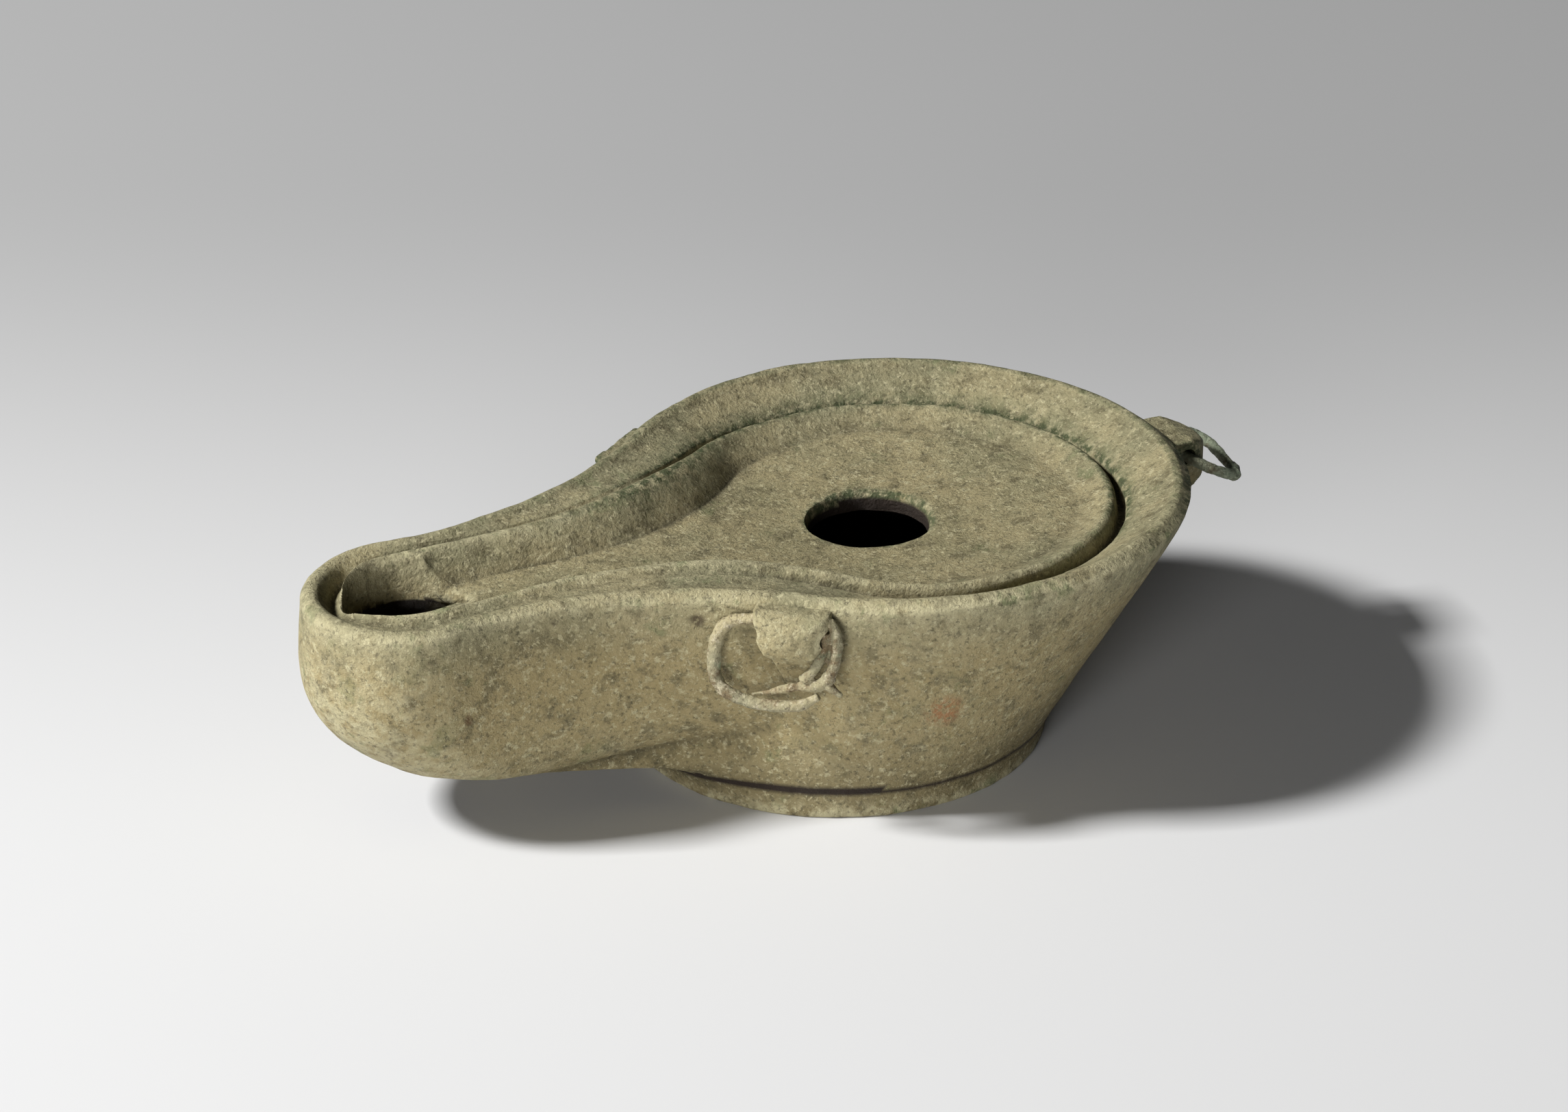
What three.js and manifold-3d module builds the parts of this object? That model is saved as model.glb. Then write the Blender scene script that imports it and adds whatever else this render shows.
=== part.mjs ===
// A small cast bronze oil lamp: an open-looking round bowl whose keyhole rim runs out into a
// straight nozzle. A sunk disc with a fill hole closes the bowl, a bead frames it, and a channel
// leads from it to the wick hole. The lamp is cast hollow in one piece with its foot and its three
// chain lugs. One lug is broken off, and the other two still hold a bent wire ring each.
// Millimetres, +Z up. The nozzle points towards -X. The origin is the middle of the foot's
// underside, where the lamp meets the table.

import * as THREE from 'three';
import { mergeVertices } from 'three/addons/utils/BufferGeometryUtils.js';
import Module from 'manifold-3d';

// Bowl and rim
const RIM_HEIGHT = 37.5;            // top of the lip above the table, at the back of the bowl
const RIM_RADIUS = 41.6;            // round part of the rim, outside
const BOWL_CENTRE = 9.7;            // the rim's circle stands this far behind the foot's centre
const BELLY = 0.095;                // swell of the wall, as a share of its run from rim to foot
const WALL = 2.6;                   // thickness of the casting
const LIP_ROUND = 1.2;              // height of the lip's rounded edge
const FLANK_RADIUS = 61;            // hollow curve that leads the bowl into the nozzle

// Nozzle
const NOZZLE_HALF_WIDTH = 14.8;
const NOZZLE_FLARE = 0.7;           // the sides spread by this much on their way to the tip
const TIP_CENTRE = -65.0;           // where the sides stop and the tip's rounding starts
const TIP_LENGTH = 15.0;
const TIP_POWER = 2.0;              // squareness of the tip seen from above
const NOZZLE_DIP = 2.6;             // the rim is this much lower at the tip than at the back
const NOZZLE_UNDERSIDE = 7.3;       // height of the nozzle's underside at the tip
const UNDERSIDE_FALL = 1.6;         // it comes down by this much towards the foot
const NOZZLE_SWELL = 0.07;          // the tip swells below the lip by this share of the hull's run
const HULL_RUN = 0.35;              // the hull turns under within this share of its run to the foot
const HULL_POWER = 1.85;            // squareness of that turn
const HULL_TUCK = 0.30;             // how much narrower the hull is where it turns flat

// Foot
const FOOT_RADIUS = 30.7;
const FOOT_HEIGHT = 2.6;
const FOOT_RING = 3.6;              // breadth of the ring that the lamp stands on
const FOOT_RECESS = 1.3;            // depth of the turned recess inside that ring
const BOSS_RADIUS = 4.0;            // turned boss in the middle, level with the foot ring
const FLOOR_TOP = 4.2;              // height of the oil chamber's floor

// Top: depths are measured down from the lip
const LIP_WIDTH = 2.6;
const FILL_HOLE_X = 5.3;
const FILL_HOLE_RADIUS = 8.8;
const DISC_RADIUS = 25.9;
const DISC_DEPTH = 5.3;
const DISC_DISH = 1.4;              // the disc sinks this much further towards the fill hole
const CHANNEL_DEPTH = 4.5;
const PLATE_UNDERSIDE = 9.4;        // depth of the oil chamber's ceiling
const WICK_CENTRE = -65.6;

// Mesh density
const HALF_STEPS = 36;              // columns from the back of the rim to the nozzle's tip
const WALL_RINGS = 14;

const { PI, sin, cos, atan2, sqrt, hypot, sign, abs, max, min } = Math;
const mix = (a, b, t) => a + (b - a) * t;
const clamp = (x, low = 0, high = 1) => min(high, max(low, x));
const smooth = (x, from, to) => {
  const t = clamp((x - from) / (to - from));
  return t * t * (3 - 2 * t);
};

// Shares of a half outline given to its four stretches: bowl, flank, straight side, tip
const FLANK_START = 0.45;
const SIDE_START = 0.66;
const TIP_START = 0.76;

// A keyhole outline seen from above. u runs from 0 at the back, through 1 at the nozzle's tip on
// the far side, and back to 2 on the near side.
function keyhole({ radius, halfWidth, flank, tipCentre = TIP_CENTRE, tip }) {
  const flankX = BOWL_CENTRE - sqrt((radius + flank) ** 2 - (halfWidth + flank) ** 2);
  const flankY = halfWidth + flank;
  const tangent = atan2(flankY, flankX - BOWL_CENTRE);
  return (u) => {
    const h = u <= 1 ? u : 2 - u;
    const side = u <= 1 ? 1 : -1;
    if (h < FLANK_START) {
      const a = tangent * h / FLANK_START;
      return [BOWL_CENTRE + radius * cos(a), side * radius * sin(a)];
    }
    if (h < SIDE_START) {
      const a = mix(tangent - PI, -PI / 2, (h - FLANK_START) / (SIDE_START - FLANK_START));
      return [flankX + flank * cos(a), side * (flankY + flank * sin(a))];
    }
    if (h < TIP_START) {
      const x = mix(flankX, tipCentre, (h - SIDE_START) / (TIP_START - SIDE_START));
      return [x, side * (halfWidth + NOZZLE_FLARE * (h - SIDE_START) / (TIP_START - SIDE_START))];
    }
    const a = PI / 2 * (h - TIP_START) / (1 - TIP_START);
    const width = (halfWidth + NOZZLE_FLARE) * max(0, cos(a)) ** (2 / TIP_POWER);
    return [tipCentre - tip * sin(a) ** (2 / TIP_POWER), side * width];
  };
}

// The rim's outline moved inwards by an even distance
const rimInset = (inset) => keyhole({
  radius: RIM_RADIUS - inset,
  halfWidth: NOZZLE_HALF_WIDTH - inset,
  flank: FLANK_RADIUS + inset,
  tip: TIP_LENGTH - inset,
});

// The angle on the round foot that a column of the wall comes down to
const FLANK_FOOT_ANGLE = 0.73 * PI;
const SIDE_FOOT_ANGLE = 0.84 * PI;
const TIP_FOOT_ANGLE = 0.89 * PI;
function footAngle(u) {
  const h = u <= 1 ? u : 2 - u;
  const side = u <= 1 ? 1 : -1;
  const stops = [[0, 0], [FLANK_START, FLANK_FOOT_ANGLE], [SIDE_START, SIDE_FOOT_ANGLE],
    [TIP_START, TIP_FOOT_ANGLE], [1, PI]];
  const i = stops.findIndex(([from], k) => k > 0 && h <= from);
  const [h0, a0] = stops[i - 1];
  const [h1, a1] = stops[i];
  return side * mix(a0, a1, (h - h0) / (h1 - h0));
}

// 0 on the bowl, 1 on the nozzle, and a soft change along the flank
const nozzleShare = (u) => smooth(u <= 1 ? u : 2 - u, FLANK_START - 0.06, SIDE_START + 0.04);

// The same for the top, where the bead already rises to the lip at the start of the flank
const channelShare = (u) => smooth(u <= 1 ? u : 2 - u, 0.33, 0.56);

const rimHeight = (x) => RIM_HEIGHT - NOZZLE_DIP * (max(0, 10 - x) / 80) ** 1.2;

// A point of the wall. v runs from 0 at the top of the wall to 1 at the foot. The inner face of
// the wall is the same surface with its inset and its lower top and floor.
function wallPoint(u, v, { inset = 0, top = LIP_ROUND, base = FOOT_HEIGHT }) {
  const [rimX, rimY] = rimInset(inset)(u);
  const angle = footAngle(u);
  const footX = (FOOT_RADIUS - inset) * cos(angle);
  const footY = (FOOT_RADIUS - inset) * sin(angle);
  const rimZ = rimHeight(rimX);
  const n = nozzleShare(u);

  // The bowl: a leaning cone that swells a little
  const bowlZ = mix(rimZ - top, base, v);
  const s = (rimZ - bowlZ) / (rimZ - base);
  const bowlRun = s - BELLY * sin(PI * clamp(s) ** 0.4) * sqrt(clamp(1 - s));

  // The nozzle: a hull that turns under, a flat underside and a cove down to the foot
  const under = NOZZLE_UNDERSIDE + inset;
  const hullEnd = 0.62;
  const coveStart = 0.86;
  const hullTop = rimZ - LIP_ROUND;
  const drop = clamp((hullTop - (rimZ - top)) / (hullTop - under));
  const phi = mix(Math.asin(drop ** (HULL_POWER / 2)), PI / 2, clamp(v / hullEnd));
  let run = HULL_RUN * (1 - cos(phi) ** (2 / HULL_POWER)) - NOZZLE_SWELL * sin(2 * phi ** 0.85) ** 2;
  let z = mix(hullTop, under, sin(phi) ** (2 / HULL_POWER));
  let tuck = HULL_TUCK * (1 - cos(phi)) ** 1.5;
  if (v > hullEnd) {
    const flat = clamp((v - hullEnd) / (coveStart - hullEnd));
    const cove = clamp((v - coveStart) / (1 - coveStart));
    run = mix(mix(HULL_RUN, 0.86, flat), 1, sin(cove * PI / 2));
    z = mix(under - UNDERSIDE_FALL * flat, base, 1 - cos(cove * PI / 2));
    tuck = HULL_TUCK * (1 - flat);
  }
  const a = mix(bowlRun, run, n);
  const narrow = 1 - tuck * n;
  return [mix(rimX, footX, a), mix(rimY, footY, a) * narrow, mix(bowlZ, z, n)];
}

// Builds a closed surface from rings of points, each ring a function of u. The first and the last
// ring may close on a point or on a line.
function stack(rings, columns = 2 * HALF_STEPS) {
  const positions = [];
  for (const ring of rings) {
    for (let c = 0; c < columns; c++) positions.push(...ring(2 * c / columns));
  }
  const index = [];
  for (let r = 0; r + 1 < rings.length; r++) {
    for (let c = 0; c < columns; c++) {
      const d = (c + 1) % columns;
      const [p, q, s, t] = [r * columns + c, r * columns + d, (r + 1) * columns + d, (r + 1) * columns + c];
      index.push(p, q, s, p, s, t);
    }
  }
  return closed(positions, index);
}

// Merges a geometry's shared corners and drops the triangles that have no area left
function closed(positions, index) {
  const geometry = new THREE.BufferGeometry();
  geometry.setAttribute('position', new THREE.Float32BufferAttribute(positions, 3));
  geometry.setIndex(index);
  const merged = mergeVertices(geometry, 1e-4);
  const old = merged.index.array;
  const kept = [];
  for (let i = 0; i < old.length; i += 3) {
    const [a, b, c] = [old[i], old[i + 1], old[i + 2]];
    if (a !== b && b !== c && c !== a) kept.push(a, b, c);
  }
  merged.setIndex(kept);
  return merged;
}

// Depth of the top below the lip's height, for a ring that has one depth round the disc and
// another along the nozzle
const ringAtDepth = (outline, discDepth, nozzleDepth) => (u) => {
  const [x, y] = outline(u);
  const depth = mix(discDepth, nozzleDepth(u), channelShare(u));
  return [x, y, rimHeight(x) - depth];
};
const evenly = (depth) => () => depth;

// The groove between lip and bead is deep round the disc. It is nearly filled along the nozzle,
// and open again round the far side of the tip.
const grooveOpen = (u) => {
  const tipSide = smooth(u, 0.80, 0.88) * (1 - smooth(u, 0.97, 1.10));
  const side = u <= 1 ? 0.45 : 0.2;
  return mix(side, 1.6, tipSide);
};
const grooveDepth = (share) => (u) => 0.3 + share * 2.0 * grooveOpen(u);

// Floor of the disc and the channel
function floorDepth(x, y) {
  const rho = hypot(x - FILL_HOLE_X, y) / DISC_RADIUS;
  const dish = DISC_DISH * clamp(1 - rho * rho);
  return mix(DISC_DEPTH + dish, CHANNEL_DEPTH, smooth(-x, 12, 40));
}

// Named loops of the top, from the lip inwards
const CHANNEL_TIP = { tipCentre: -58, tip: 6 };
const bandLoop = keyhole({ radius: 33.3, halfWidth: 11.4, flank: 62, tip: 11.4 });
const grooveOuter = keyhole({ radius: 32.8, halfWidth: 11.1, flank: 62, tip: 11.1 });
const grooveInner = keyhole({ radius: 32.0, halfWidth: 10.6, flank: 62, tip: 9.9 });
const beadOuter = keyhole({ radius: 31.5, halfWidth: 10.0, flank: 61, tip: 9.3 });
const beadTop = keyhole({ radius: 30.7, halfWidth: 9.4, flank: 60, tip: 8.6 });
const beadInner = keyhole({ radius: 29.7, halfWidth: 8.3, flank: 56, ...CHANNEL_TIP });
const beadSlope = keyhole({ radius: 27.6, halfWidth: 6.4, flank: 50, tipCentre: -57, tip: 5 });
const crease = keyhole({ radius: DISC_RADIUS, halfWidth: 5.0, flank: 46, tipCentre: -56, tip: 5 });

const spineX = (x) => mix(FILL_HOLE_X, x, 0.62);
const floorRing = (share) => (u) => {
  const [cx, cy] = crease(u);
  const x = mix(cx, spineX(cx), share);
  const y = cy * (1 - share);
  return [x, y, rimHeight(x) - floorDepth(x, y)];
};

const footRing = (radius, z) => (u) => {
  const angle = footAngle(u);
  return [radius * cos(angle), radius * sin(angle), z];
};

function outerRings() {
  const innerFoot = FOOT_RADIUS - FOOT_RING;
  const rings = [
    footRing(0, 0),
    footRing(BOSS_RADIUS, 0),
    footRing(BOSS_RADIUS + 0.6, FOOT_RECESS),
    footRing(14.0, FOOT_RECESS),
    footRing(14.8, 0.6 * FOOT_RECESS),
    footRing(16.4, 0.6 * FOOT_RECESS),
    footRing(17.2, FOOT_RECESS),
    footRing(innerFoot - 0.8, FOOT_RECESS),
    footRing(innerFoot, 0),
    footRing(FOOT_RADIUS - 0.4, 0),
    footRing(FOOT_RADIUS, 0.4),
  ];
  for (let k = WALL_RINGS; k >= 0; k--) rings.push((u) => wallPoint(u, k / WALL_RINGS, {}));
  rings.push(
    ringAtDepth(rimInset(0.25), 0.5, evenly(0.6)),
    ringAtDepth(rimInset(0.9), 0.05, evenly(0.1)),
    ringAtDepth(rimInset(1.8), 0.1, evenly(0)),
    ringAtDepth(rimInset(LIP_WIDTH), 0.7, grooveDepth(0.1)),
    ringAtDepth(bandLoop, 4.4, grooveDepth(0.6)),
    ringAtDepth(grooveOuter, 6.0, grooveDepth(1)),
    ringAtDepth(grooveInner, 5.9, grooveDepth(1)),
    ringAtDepth(beadOuter, 3.8, grooveDepth(0.3)),
    ringAtDepth(beadTop, 3.15, evenly(0)),
    ringAtDepth(beadInner, 3.5, evenly(0.2)),
    ringAtDepth(beadSlope, 4.6, evenly(2.8)),
  );
  for (const share of [0, 0.12, 0.4, 0.7, 1]) rings.push(floorRing(share));
  return rings;
}

function chamberRings() {
  const inner = { inset: WALL, top: PLATE_UNDERSIDE, base: FLOOR_TOP };
  const steps = 9;
  const rings = [footRing(0, FLOOR_TOP), footRing(15, FLOOR_TOP)];
  for (let k = steps; k >= 0; k--) rings.push((u) => wallPoint(u, k / steps, inner));
  for (const share of [0.5, 1]) {
    rings.push((u) => {
      const [x, y] = wallPoint(u, 0, inner);
      const px = mix(x, spineX(x), share);
      return [px, y * (1 - share), rimHeight(px) - PLATE_UNDERSIDE];
    });
  }
  return rings;
}

// The wick hole: a round funnel inside the bead at the tip. Its wall runs down into the nozzle.
// Towards the channel it breaks through the plate with a ragged edge.
function wickFunnelRings() {
  const top = rimHeight(WICK_CENTRE);
  const ring = (radius, depth) => (u) => {
    const a = u * PI;
    const ragged = clamp(cos(a)) ** 4 * (0.5 * sin(9 * a) + 0.35 * sin(16 * a + 1));
    const r = radius + ragged * min(1, radius);
    return [WICK_CENTRE + 1.08 * r * cos(a), 0.5 + r * sin(a), top - depth];
  };
  return [
    ring(0, 17), ring(6.4, 17), ring(7.0, 10), ring(7.1, 7), ring(7.5, 4.2),
    ring(8.0, 2.2), ring(8.5, 1.0), ring(9.1, 0.0), ring(9.8, -4), ring(0, -4),
  ];
}

const wasm = await Module();
wasm.setup();

function solid(geometry) {
  return new wasm.Manifold(new wasm.Mesh({
    numProp: 3,
    vertProperties: Float32Array.from(geometry.attributes.position.array),
    triVerts: Uint32Array.from(geometry.index.array),
  }));
}

function geometryOf(manifold) {
  const mesh = manifold.getMesh();
  const geometry = new THREE.BufferGeometry();
  geometry.setAttribute('position', new THREE.BufferAttribute(Float32Array.from(mesh.vertProperties), 3));
  geometry.setIndex([...mesh.triVerts]);
  geometry.computeVertexNormals();
  return geometry;
}

function plain(geometry) {
  geometry.deleteAttribute('normal');
  geometry.deleteAttribute('uv');
  const bare = mergeVertices(geometry, 1e-4);
  return closed([...bare.attributes.position.array], [...bare.index.array]);
}

// The fill hole: straight through the plate, with a rounded upper edge
function fillHole() {
  const r = FILL_HOLE_RADIUS;
  const floorZ = RIM_HEIGHT - DISC_DEPTH - DISC_DISH;
  const profile = [[0, -8], [r, -8], [r, -1.2], [r + 0.2, -0.3], [r + 0.6, 0.1], [r + 3, 6], [0, 6]];
  const lathe = new THREE.LatheGeometry(profile.map(([x, y]) => new THREE.Vector2(x, y)), 32);
  lathe.rotateX(PI / 2);
  lathe.translate(FILL_HOLE_X, 0, floorZ);
  return plain(lathe);
}

// Chain lugs. Each stands out from the rim on a shield-shaped root that tapers to a point down the
// wall, and is pierced along the rim for its ring. OUT, ALONG and UP are a lug's own directions.
const LUG_PLACE = 0.461;            // where on the half outline the two side lugs stand
const LUG_HALF_WIDTH = 5.3;
const LUG_DROP = -15.8;             // the point of the root, below the lip
const LUG_HOLE_RADIUS = 1.9;
const LUG_HOLE_UP = -4.7;

// A place on the rim: its point and the level direction that faces away from the lamp
function rimPlace(u) {
  const rim = rimInset(0);
  const [x, y] = rim(u);
  const [ax, ay] = rim(u - 1e-3);
  const [bx, by] = rim(u + 1e-3);
  const length = hypot(bx - ax, by - ay);
  return { x, y, z: rimHeight(x), outX: (by - ay) / length, outY: (ax - bx) / length };
}

// Moves an extruded shape to its place on the rim. 'out' was drawn in the OUT-UP plane, 'along' in
// the ALONG-UP plane and 'plan' in the OUT-ALONG plane.
function atLug(geometry, place, plane) {
  const out = new THREE.Vector3(place.outX, place.outY, 0);
  const up = new THREE.Vector3(0, 0, 1);
  const along = up.clone().cross(out);
  const basis = new THREE.Matrix4();
  if (plane === 'out') basis.makeBasis(out, up, along.negate());
  if (plane === 'along') basis.makeBasis(along, up, out);
  if (plane === 'plan') basis.makeBasis(out, along, up);
  basis.setPosition(place.x, place.y, place.z);
  geometry.applyMatrix4(basis);
  return plain(geometry);
}

function slab(points, depth, start) {
  const shape = new THREE.Shape(points.map(([x, y]) => new THREE.Vector2(x, y)));
  return new THREE.ExtrudeGeometry(shape, { depth, bevelEnabled: false }).translate(0, 0, start);
}

function lug({ place, reach, top, underside }) {
  const profile = [
    [-1.6, top], [0.55 * reach, top], [0.85 * reach, top - 0.9], [reach, -3.6], [reach, -5.4],
    ...underside, [-1.8, -3.5],
  ];
  const face = [
    [LUG_HALF_WIDTH, 0], [LUG_HALF_WIDTH - 0.3, -3.5], [0.4, LUG_DROP - 2], [-0.4, LUG_DROP - 2],
    [0.3 - LUG_HALF_WIDTH, -3.5], [-LUG_HALF_WIDTH, 0],
  ];
  const nose = [[-10, LUG_HALF_WIDTH + 1], [-10, -LUG_HALF_WIDTH - 1]];
  for (let i = 0; i <= 10; i++) {
    const a = PI * (i / 10 - 0.5);
    nose.push([(reach + 0.1) * cos(a) ** 0.7, (LUG_HALF_WIDTH + 0.4) * sin(a)]);
  }
  const side = solid(atLug(slab(profile, 2 * LUG_HALF_WIDTH + 1, -LUG_HALF_WIDTH - 0.5), place, 'out'));
  const front = solid(atLug(slab(face, 20, -10), place, 'along'));
  const plan = solid(atLug(slab(nose, 30, -25), place, 'plan'));
  return side.intersect(front).intersect(plan);
}

function lugHole({ place, holeOut }) {
  const bore = new THREE.CylinderGeometry(LUG_HOLE_RADIUS, LUG_HOLE_RADIUS, 14, 12);
  bore.rotateX(PI / 2).translate(holeOut, LUG_HOLE_UP, 0);
  return solid(atLug(bore, place, 'out'));
}

// The far lug is broken off: a low rough scar is left on the rim
function brokenLug(place) {
  const scar = [
    [7.4, -1.3], [7.0, -0.4], [1.0, -0.9], [-3.2, -1.0], [-5.8, -1.3], [-6.2, -2.2], [-3.9, -4.0],
    [-1.3, -6.2], [2.4, -5.2], [5.4, -3.3],
  ];
  return solid(atLug(slab(scar, 3.4, -2.0), place, 'along'));
}

const nearLug = {
  place: rimPlace(2 - LUG_PLACE),
  reach: 4.6,
  top: -1.2,
  holeOut: 1.9,
  underside: [[3.5, -7.6], [1.4, -9.2], [-0.2, -9.9], [-1.2, -10.6], [-3.0, LUG_DROP], [-6, LUG_DROP]],
};
const rearLug = {
  place: rimPlace(0),
  reach: 8.2,
  top: -2.0,
  holeOut: 3.6,
  underside: [[7.8, -8.0], [6.4, -10.4], [4.2, -12.6], [-1.0, -15.4], [-7.5, -17.4], [-9.5, -17.4]],
};

const body = solid(stack(outerRings()))
  .add(lug(nearLug))
  .add(lug(rearLug))
  .add(brokenLug(rimPlace(LUG_PLACE)))
  .subtract(lugHole(nearLug))
  .subtract(lugHole(rearLug))
  .subtract(solid(stack(chamberRings(), 48)))
  .subtract(solid(fillHole()))
  .subtract(solid(stack(wickFunnelRings(), 32)));

// Rings of drawn wire, bent through the lugs, with their ends lapped
const WIRE_RADIUS = 0.75;

// A squarish loop that hangs in a lug's hole. A turn of 0 or 1 is its foot, and a half is inside
// the hole. It leans out from the wall, and rolls so that one side hangs lower. The lapped end
// turns back inside the first.
function loopPath(loop, { place, holeOut }) {
  const { across, halfWidth, drop, lean, roll, from, to, lap } = loop;
  const square = (x) => sign(x) * abs(x) ** 0.75;
  const points = [];
  const steps = 22;
  for (let i = 0; i <= steps; i++) {
    const turn = mix(from, to, i / steps);
    const a = 2 * PI * turn;
    const fall = drop / 2 * (1 + square(cos(a))) - lap * smooth(turn, 0.72, 1.0);
    const along = across - halfWidth * square(sin(a));
    const out = holeOut + fall * sin(lean);
    const up = LUG_HOLE_UP - fall * cos(lean) + roll * along * fall / drop;
    points.push(new THREE.Vector3(
      place.x + place.outX * out - place.outY * along,
      place.y + place.outY * out + place.outX * along,
      place.z + up,
    ));
  }
  return new THREE.CatmullRomCurve3(points, false, 'centripetal');
}

function wire(path, steps) {
  const section = new THREE.Shape();
  for (let i = 0; i < 8; i++) {
    const a = PI / 4 * (i + 0.5);
    const [x, y] = [WIRE_RADIUS * cos(a), WIRE_RADIUS * sin(a)];
    if (i === 0) section.moveTo(x, y);
    else section.lineTo(x, y);
  }
  section.closePath();
  const geometry = new THREE.ExtrudeGeometry(section, { steps, extrudePath: path, bevelEnabled: false });
  const welded = plain(geometry);
  welded.computeVertexNormals();
  return welded;
}

const sideLoop = {
  across: -1.2, halfWidth: 9.0, drop: 11.6, lean: 0.15, roll: 0.06, from: -0.12, to: 1.05, lap: 2.8,
};
const rearLoop = {
  across: 0, halfWidth: 7.1, drop: 10.5, lean: 1.2, roll: 0.2, from: -0.02, to: 0.93, lap: 0.8,
};

const bronze = new THREE.MeshStandardMaterial({ color: 0x7d7a5c, roughness: 0.75, metalness: 0.35 });
const wornWire = new THREE.MeshStandardMaterial({ color: 0x8f9a7c, roughness: 0.85, metalness: 0.2 });
const greenWire = new THREE.MeshStandardMaterial({ color: 0x86957c, roughness: 0.85, metalness: 0.2 });

const lamp = new THREE.Group();

function addPiece(name, geometry, material) {
  const piece = new THREE.Mesh(geometry, material);
  piece.name = name;
  lamp.add(piece);
}

addPiece('lamp_body', geometryOf(body), bronze);
addPiece('side_ring', wire(loopPath(sideLoop, nearLug), 42), wornWire);
addPiece('rear_ring', wire(loopPath(rearLoop, rearLug), 34), greenWire);

export default lamp;
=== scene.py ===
# Looks of a small cast bronze oil lamp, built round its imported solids.
# Sizes are in millimetres and become metres where a mesh is made. +Z is up, and the nozzle points
# towards -X.
import math

import bmesh
import bpy
import numpy as np
from mathutils import Matrix, Vector


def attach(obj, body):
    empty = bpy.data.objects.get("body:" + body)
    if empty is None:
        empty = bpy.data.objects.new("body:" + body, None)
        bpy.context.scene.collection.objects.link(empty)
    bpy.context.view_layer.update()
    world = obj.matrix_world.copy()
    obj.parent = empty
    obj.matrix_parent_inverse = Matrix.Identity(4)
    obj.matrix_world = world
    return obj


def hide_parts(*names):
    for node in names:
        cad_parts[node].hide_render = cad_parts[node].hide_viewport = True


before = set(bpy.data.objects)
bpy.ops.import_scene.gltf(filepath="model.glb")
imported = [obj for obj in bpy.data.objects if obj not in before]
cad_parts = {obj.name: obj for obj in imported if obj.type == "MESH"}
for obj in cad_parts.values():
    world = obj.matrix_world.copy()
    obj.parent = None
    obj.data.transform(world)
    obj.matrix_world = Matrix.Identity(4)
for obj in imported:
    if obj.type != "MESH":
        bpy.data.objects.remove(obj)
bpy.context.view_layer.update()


# ---------------------------------------------------------------------------------------------
# The lamp's casting: bowl, nozzle, top and foot. It was cast hollow in leaded bronze by lost wax,
# in one piece, and its foot and disc were turned. Burial left a mottled olive and grey-green
# skin with spots of rust and verdigris. It is darker in the hollows, partly from corrosion and partly
# as painted shade, and pale on the edges, partly rubbed and partly as painted highlight. Its
# inside is painted near black as shade.
# ---------------------------------------------------------------------------------------------
RIM_HEIGHT = 37.5
RIM_RADIUS = 41.6
BOWL_CENTRE = 9.7
BELLY = 0.095
WALL = 2.6
LIP_ROUND = 1.2
LIP_WIDTH = 2.6
FLANK_RADIUS = 61.0
NOZZLE_HALF_WIDTH = 14.8
NOZZLE_FLARE = 0.7
TIP_CENTRE = -65.0
TIP_LENGTH = 15.0
TIP_POWER = 2.0
NOZZLE_DIP = 2.6
NOZZLE_UNDERSIDE = 7.3
UNDERSIDE_FALL = 1.6
NOZZLE_SWELL = 0.07
HULL_RUN = 0.35
HULL_POWER = 1.85
HULL_TUCK = 0.30
FOOT_RADIUS = 30.7
FOOT_HEIGHT = 2.6
FOOT_RING = 3.6
FOOT_RECESS = 1.3
BOSS_RADIUS = 4.0
FLOOR_TOP = 4.2
FILL_HOLE_X = 5.3
FILL_HOLE_RADIUS = 8.8
DISC_RADIUS = 25.9
DISC_DEPTH = 5.3
DISC_DISH = 1.4
CHANNEL_DEPTH = 4.5
PLATE_UNDERSIDE = 9.4
WICK_CENTRE = -65.6
FLANK_START = 0.45
SIDE_START = 0.66
TIP_START = 0.76
HALF_COLUMNS = 210
WALL_RINGS = 46
MM = 0.001


def smooth(x, start, end):
    t = np.clip((np.asarray(x, float) - start) / (end - start), 0, 1)
    return t * t * (3 - 2 * t)


def mix(a, b, t):
    return a + (b - a) * t


def half(u):
    return np.where(u <= 1, u, 2 - u)


def side_of(u):
    return np.where(u <= 1, 1.0, -1.0)


def keyhole(u, radius, half_width, flank, tip, tip_centre=TIP_CENTRE):
    """The keyhole outline from above: u is 0 at the back, 1 at the nozzle's tip, 2 at the back."""
    h, side = half(u), side_of(u)
    flank_x = BOWL_CENTRE - math.sqrt((radius + flank) ** 2 - (half_width + flank) ** 2)
    flank_y = half_width + flank
    tangent = math.atan2(flank_y, flank_x - BOWL_CENTRE)
    a = tangent * h / FLANK_START
    b = mix(tangent - math.pi, -math.pi / 2, (h - FLANK_START) / (SIDE_START - FLANK_START))
    run = (h - SIDE_START) / (TIP_START - SIDE_START)
    c = np.clip(math.pi / 2 * (h - TIP_START) / (1 - TIP_START), 0, math.pi / 2)
    parts = [h < FLANK_START, h < SIDE_START, h < TIP_START]
    turned = (half_width + NOZZLE_FLARE) * np.clip(np.cos(c), 0, 1) ** (2 / TIP_POWER)
    x = np.select(
        parts,
        [BOWL_CENTRE + radius * np.cos(a), flank_x + flank * np.cos(b), mix(flank_x, tip_centre, run)],
        tip_centre - tip * np.sin(c) ** (2 / TIP_POWER),
    )
    y = np.select(
        parts,
        [radius * np.sin(a), flank_y + flank * np.sin(b), half_width + NOZZLE_FLARE * run],
        turned,
    )
    return x, side * y


def rim_inset(u, inset):
    return keyhole(
        u,
        RIM_RADIUS - inset,
        NOZZLE_HALF_WIDTH - inset,
        FLANK_RADIUS + inset,
        TIP_LENGTH - inset,
    )


def rim_height(x):
    return RIM_HEIGHT - NOZZLE_DIP * (np.clip(10 - x, 0, None) / 80) ** 1.2


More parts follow.
